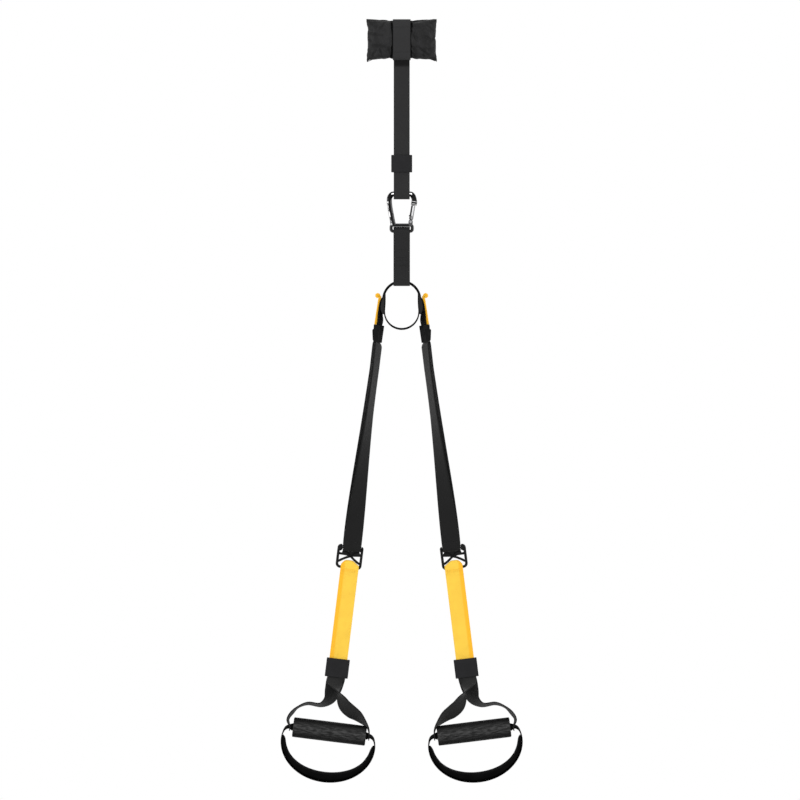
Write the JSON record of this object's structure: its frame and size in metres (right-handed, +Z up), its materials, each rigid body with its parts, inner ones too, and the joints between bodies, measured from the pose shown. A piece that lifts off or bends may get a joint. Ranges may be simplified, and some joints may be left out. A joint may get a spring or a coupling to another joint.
{
  "type": "suspension trainer",
  "caption": "Strap suspension trainer: door pad on an anchor strap, carabiner, webbing equaliser and adjustable side straps with grips and padded foot cradles.",
  "frame": {"origin": "on the back face of the anchor strap, just under the door pad, where a closed door holds the strap", "axes": "+Z up along the strap, +X to the right seen from the front, +Y to the back; the straps hang down along -Z"},
  "size_m": [0.5072, 0.0499, 1.6022],
  "materials": {
    "webbing_black": "woven nylon webbing, near-black",
    "webbing_grey": "woven nylon webbing, charcoal",
    "webbing_yellow": "woven nylon webbing, golden yellow with darker selvedges",
    "sleeve_rubber": "moulded rubber, matt charcoal",
    "pad_fabric": "satin nylon cover cloth, black",
    "pad_foam": "open-cell foam, inside the pad",
    "carabiner_metal": "polished dark metal",
    "pin_steel": "plain steel",
    "buckle_plastic": "moulded, black, low sheen",
    "link_plastic": "moulded, black, matt",
    "grip_foam": "closed-cell foam with a fine mottled skin, black",
    "grip_tube": "moulded, black",
    "cradle_fabric": "knitted cloth over foam, deep black"
  },
  "bodies": {
    "anchor": {"anchor_strap": "webbing_black", "anchor_sleeve": "sleeve_rubber"},
    "door_pad": {"pad_front_panel": "pad_fabric", "pad_back_panel": "pad_fabric", "pad_core": "pad_foam", "pad_band": "webbing_black"},
    "carabiner": {"carabiner_body": "carabiner_metal", "gate_pin": "carabiner_metal"},
    "carabiner_gate": {"gate": "carabiner_metal"},
    "lower_loop": {"lower_strap": "webbing_black"},
    "equaliser": {"equaliser_over_web": "webbing_black", "equaliser_ring": "webbing_black", "equaliser_lap_left": "webbing_grey", "equaliser_lap_right": "webbing_grey"},
    "leg_left": {"leg_web_left": "webbing_grey"},
    "cam_buckle_left": {"buckle_frame_left": "buckle_plastic", "buckle_pin_left": "pin_steel", "pull_tab_left": "webbing_yellow", "pull_tab_roll_left": "webbing_yellow"},
    "cam_lever_left": {"buckle_lever_left": "buckle_plastic"},
    "strap_loop_left": {"doubled_strap_left": "webbing_grey"},
    "link_body_left": {"link_left": "link_plastic"},
    "hanger_left": {"yellow_strap_left": "webbing_yellow", "handle_sleeve_left": "sleeve_rubber", "arm_inner_left": "webbing_grey", "arm_outer_left": "webbing_grey"},
    "grip_left": {"grip_foam_left": "grip_foam", "grip_core_left": "grip_tube", "grip_cap_inner_left": "grip_tube", "grip_cap_outer_left": "grip_tube"},
    "foot_cradle_left": {"cradle_web_left": "webbing_black", "cradle_pad_left": "cradle_fabric"},
    "leg_right": {"leg_web_right": "webbing_grey"},
    "cam_buckle_right": {"buckle_frame_right": "buckle_plastic", "buckle_pin_right": "pin_steel", "pull_tab_right": "webbing_yellow", "pull_tab_roll_right": "webbing_yellow"},
    "cam_lever_right": {"buckle_lever_right": "buckle_plastic"},
    "strap_loop_right": {"doubled_strap_right": "webbing_grey"},
    "link_body_right": {"link_right": "link_plastic"},
    "hanger_right": {"yellow_strap_right": "webbing_yellow", "handle_sleeve_right": "sleeve_rubber", "arm_inner_right": "webbing_grey", "arm_outer_right": "webbing_grey"},
    "grip_right": {"grip_foam_right": "grip_foam", "grip_core_right": "grip_tube", "grip_cap_inner_right": "grip_tube", "grip_cap_outer_right": "grip_tube"},
    "foot_cradle_right": {"cradle_web_right": "webbing_black", "cradle_pad_right": "cradle_fabric"}
  },
  "joints": [
    {"name": "pad_fold", "type": "hinge", "parent": "anchor", "child": "door_pad", "pos_m": [0, -0.0011, 0.0065], "axis": [1, 0, 0], "range_deg": [-90, 90]},
    {"name": "carabiner_swing", "type": "hinge", "parent": "anchor", "child": "carabiner", "pos_m": [0, 0.00015, -0.2731], "axis": [1, 0, 0], "range_deg": [-45, 45]},
    {"name": "gate_hinge", "type": "hinge", "parent": "carabiner", "child": "carabiner_gate", "pos_m": [0.0187, 0.00015, -0.3316], "axis": [0, -1, 0], "range_deg": [0, 25], "stiffness_Nm_per_rad": 0.1, "springref_deg": -20.05},
    {"name": "lower_strap_swing", "type": "hinge", "parent": "carabiner", "child": "lower_loop", "pos_m": [0, 0.00015, -0.3513], "axis": [1, 0, 0], "range_deg": [-30, 30]},
    {"name": "equaliser_roll", "type": "hinge", "parent": "lower_loop", "child": "equaliser", "pos_m": [0, 0.00015, -0.4953], "axis": [0, 1, 0], "range_deg": [-30, 30]},
    {"name": "leg_spread_left", "type": "hinge", "parent": "equaliser", "child": "leg_left", "pos_m": [-0.0397, 0.00015, -0.49043], "axis": [0, 1, 0], "range_deg": [0, 25]},
    {"name": "strap_length_left", "type": "slide", "parent": "leg_left", "child": "strap_loop_left", "axis": [-0.1219, 0, -0.9925], "range_m": [0, 0.405], "deforming": ["doubled_strap_left"]},
    {"name": "buckle_travel_left", "type": "slide", "parent": "leg_left", "child": "cam_buckle_left", "axis": [-0.1219, 0, -0.9925], "range_m": [0, 0.81], "deforming": ["leg_web_left"]},
    {"name": "cam_lever_lift_left", "type": "hinge", "parent": "cam_buckle_left", "child": "cam_lever_left", "pos_m": [-0.05351, 0.00143, -0.56069], "axis": [0.2401, 0.9703, -0.0295], "range_deg": [0, 25], "stiffness_Nm_per_rad": 0.2, "springref_deg": -17.19},
    {"name": "link_swing_left", "type": "hinge", "parent": "strap_loop_left", "child": "link_body_left", "pos_m": [-0.10443, 0.00015, -1.01757], "axis": [0.9925, 0, -0.1219], "range_deg": [-30, 30]},
    {"name": "handle_swing_left", "type": "hinge", "parent": "link_body_left", "child": "hanger_left", "pos_m": [-0.10936, 0.00015, -1.05776], "axis": [0.9925, 0, -0.1219], "range_deg": [-45, 45]},
    {"name": "grip_spin_left", "type": "hinge", "parent": "hanger_left", "child": "grip_left", "pos_m": [-0.15159, 0.00015, -1.40168], "axis": [0.9925, 0, -0.1219], "continuous": true},
    {"name": "cradle_swing_left", "type": "hinge", "parent": "hanger_left", "child": "foot_cradle_left", "pos_m": [-0.15159, 0.00015, -1.40168], "axis": [0.9925, 0, -0.1219], "range_deg": [-90, 90]},
    {"name": "leg_spread_right", "type": "hinge", "parent": "equaliser", "child": "leg_right", "pos_m": [0.0397, 0.00015, -0.49043], "axis": [0, -1, 0], "range_deg": [0, 25]},
    {"name": "strap_length_right", "type": "slide", "parent": "leg_right", "child": "strap_loop_right", "axis": [0.1219, 0, -0.9925], "range_m": [0, 0.405], "deforming": ["doubled_strap_right"]},
    {"name": "buckle_travel_right", "type": "slide", "parent": "leg_right", "child": "cam_buckle_right", "axis": [0.1219, 0, -0.9925], "range_m": [0, 0.81], "deforming": ["leg_web_right"]},
    {"name": "cam_lever_lift_right", "type": "hinge", "parent": "cam_buckle_right", "child": "cam_lever_right", "pos_m": [0.05351, 0.00143, -0.56069], "axis": [0.2401, -0.9703, 0.0295], "range_deg": [0, 25], "stiffness_Nm_per_rad": 0.2, "springref_deg": -17.19},
    {"name": "link_swing_right", "type": "hinge", "parent": "strap_loop_right", "child": "link_body_right", "pos_m": [0.10443, 0.00015, -1.01757], "axis": [0.9925, 0, 0.1219], "range_deg": [-30, 30]},
    {"name": "handle_swing_right", "type": "hinge", "parent": "link_body_right", "child": "hanger_right", "pos_m": [0.10936, 0.00015, -1.05776], "axis": [0.9925, 0, 0.1219], "range_deg": [-45, 45]},
    {"name": "grip_spin_right", "type": "hinge", "parent": "hanger_right", "child": "grip_right", "pos_m": [0.15159, 0.00015, -1.40168], "axis": [0.9925, 0, 0.1219], "continuous": true},
    {"name": "cradle_swing_right", "type": "hinge", "parent": "hanger_right", "child": "foot_cradle_right", "pos_m": [0.15159, 0.00015, -1.40168], "axis": [0.9925, 0, 0.1219], "range_deg": [-90, 90]}
  ],
  "couplings": [
    {"joint": "buckle_travel_left", "follows": "strap_length_left", "ratio": 2},
    {"joint": "buckle_travel_right", "follows": "strap_length_right", "ratio": 2}
  ]
}
